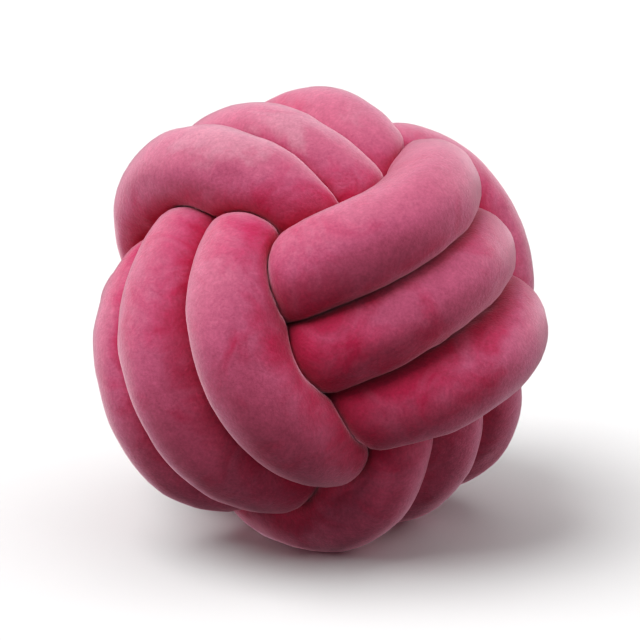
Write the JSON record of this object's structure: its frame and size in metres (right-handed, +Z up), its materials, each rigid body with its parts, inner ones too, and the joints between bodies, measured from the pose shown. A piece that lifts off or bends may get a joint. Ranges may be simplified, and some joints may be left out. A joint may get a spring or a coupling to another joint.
{
  "type": "knotted ball cushion",
  "caption": "Round velvet ball cushion knotted from a long stuffed tube, its bands passing over and under each other, with a small flat spot to lie on.",
  "frame": {"origin": "on the floor, under the middle of the ball's box", "axes": "+Z up; the face that the picture shows points along -Y, with +X to its right"},
  "size_m": [0.2954, 0.3044, 0.2859],
  "materials": {
    "rose_velvet": "short-pile velvet, matt with a soft sheen at grazing angles"
  },
  "bodies": {
    "root": {"stuffed_tube": "rose_velvet"}
  },
  "joints": []
}
